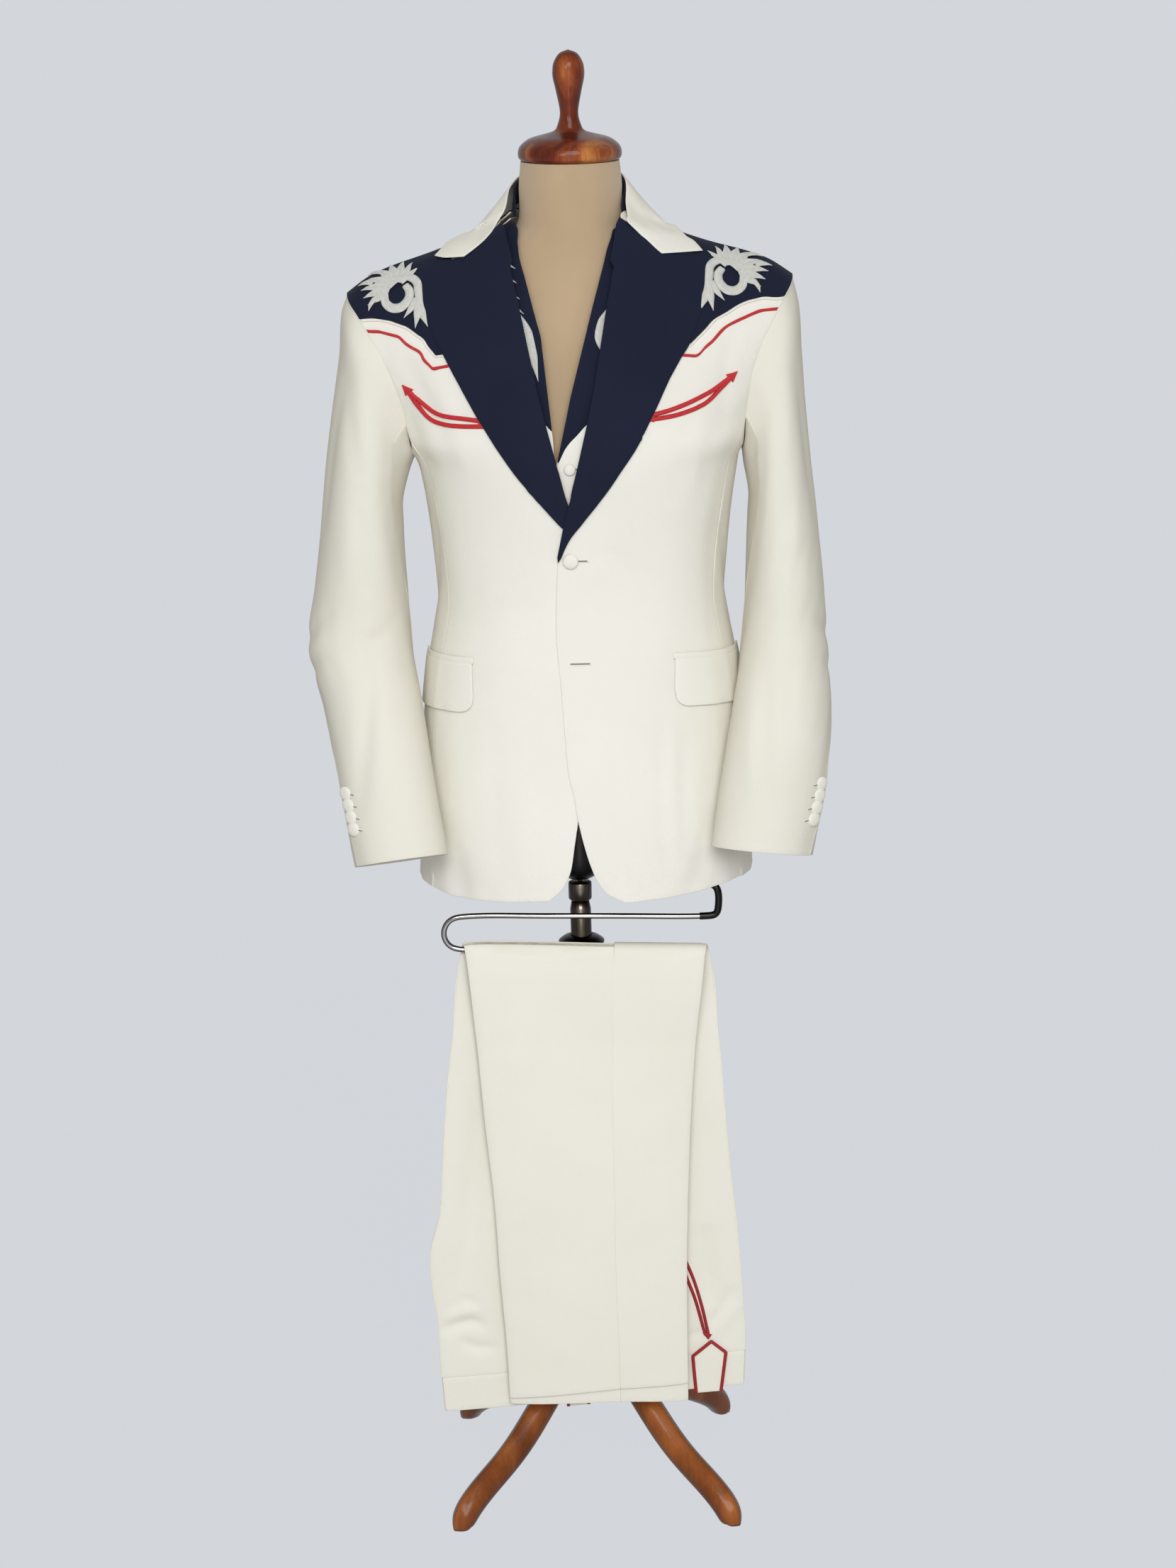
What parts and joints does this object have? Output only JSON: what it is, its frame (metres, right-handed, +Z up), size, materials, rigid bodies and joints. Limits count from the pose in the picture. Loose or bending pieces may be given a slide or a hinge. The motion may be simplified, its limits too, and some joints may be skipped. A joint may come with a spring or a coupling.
{
  "type": "western suit on a dress form and stand",
  "caption": "Ivory western suit, a jacket with navy yokes and lapels, a waistcoat and trousers folded over a bar, on a dress form with a wooden stand.",
  "frame": {"origin": "on the floor under the middle of the form, at the pole", "axes": "+Z up, -Y the way the garments face, +X to the right seen from the front"},
  "size_m": [0.5684, 0.3284, 1.62],
  "materials": {
    "ivory": "plain wool cloth",
    "navy": "plain wool cloth",
    "red": "satin piping",
    "cream": "twisted cord",
    "linen": "linen cover",
    "cap_wood": "gloss lacquer",
    "leg_wood": "gloss lacquer",
    "steel": "darkened steel",
    "black": "gloss black",
    "chrome": "polished"
  },
  "bodies": {
    "root": {"form_torso": "linen", "form_cap": "cap_wood", "stand_boss": "black", "stand_stem": "steel", "stand_knob": "steel", "stand_pole": "steel", "stand_flange": "black", "stand_hub": "leg_wood", "stand_bar": "chrome", "stand_leg_front_left": "leg_wood", "stand_leg_front_right": "leg_wood", "stand_leg_back_left": "leg_wood", "stand_leg_back_right": "leg_wood", "jacket_front_left": "ivory", "jacket_lapel_left": "navy", "jacket_yoke_left": "navy", "jacket_yoke_cord_left": "cream", "jacket_piping_left": "red", "jacket_pocket_piping_left": "red", "jacket_flap_left": "ivory", "jacket_welt_left": "ivory", "jacket_side_left": "ivory", "jacket_back_left": "ivory", "jacket_front_right": "ivory", "jacket_lapel_right": "navy", "jacket_yoke_right": "navy", "jacket_yoke_cord_right": "cream", "jacket_piping_right": "red", "jacket_pocket_piping_right": "red", "jacket_flap_right": "ivory", "jacket_welt_right": "ivory", "jacket_side_right": "ivory", "jacket_back_right": "ivory", "jacket_yoke_back": "navy", "jacket_yoke_cord_back": "cream", "jacket_collar": "ivory", "jacket_collar_stand": "ivory", "jacket_button": "ivory", "jacket_sleeve_left": "ivory", "jacket_undersleeve_left": "ivory", "jacket_cuff_buttons_left": "ivory", "jacket_sleeve_right": "ivory", "jacket_undersleeve_right": "ivory", "jacket_cuff_buttons_right": "ivory", "waistcoat_yoke_left": "navy", "waistcoat_front_left": "ivory", "waistcoat_yoke_right": "navy", "waistcoat_front_right": "ivory", "waistcoat_back": "ivory", "waistcoat_button": "ivory", "trousers_back_inner": "ivory", "trousers_front_inner": "ivory", "trousers_waistband_inner": "ivory", "trousers_back_outer": "ivory", "trousers_front_outer": "ivory", "trousers_waistband_outer": "ivory", "trousers_loop_side": "ivory", "trousers_loop_middle": "ivory", "trousers_pocket_piping": "red"}
  },
  "joints": []
}
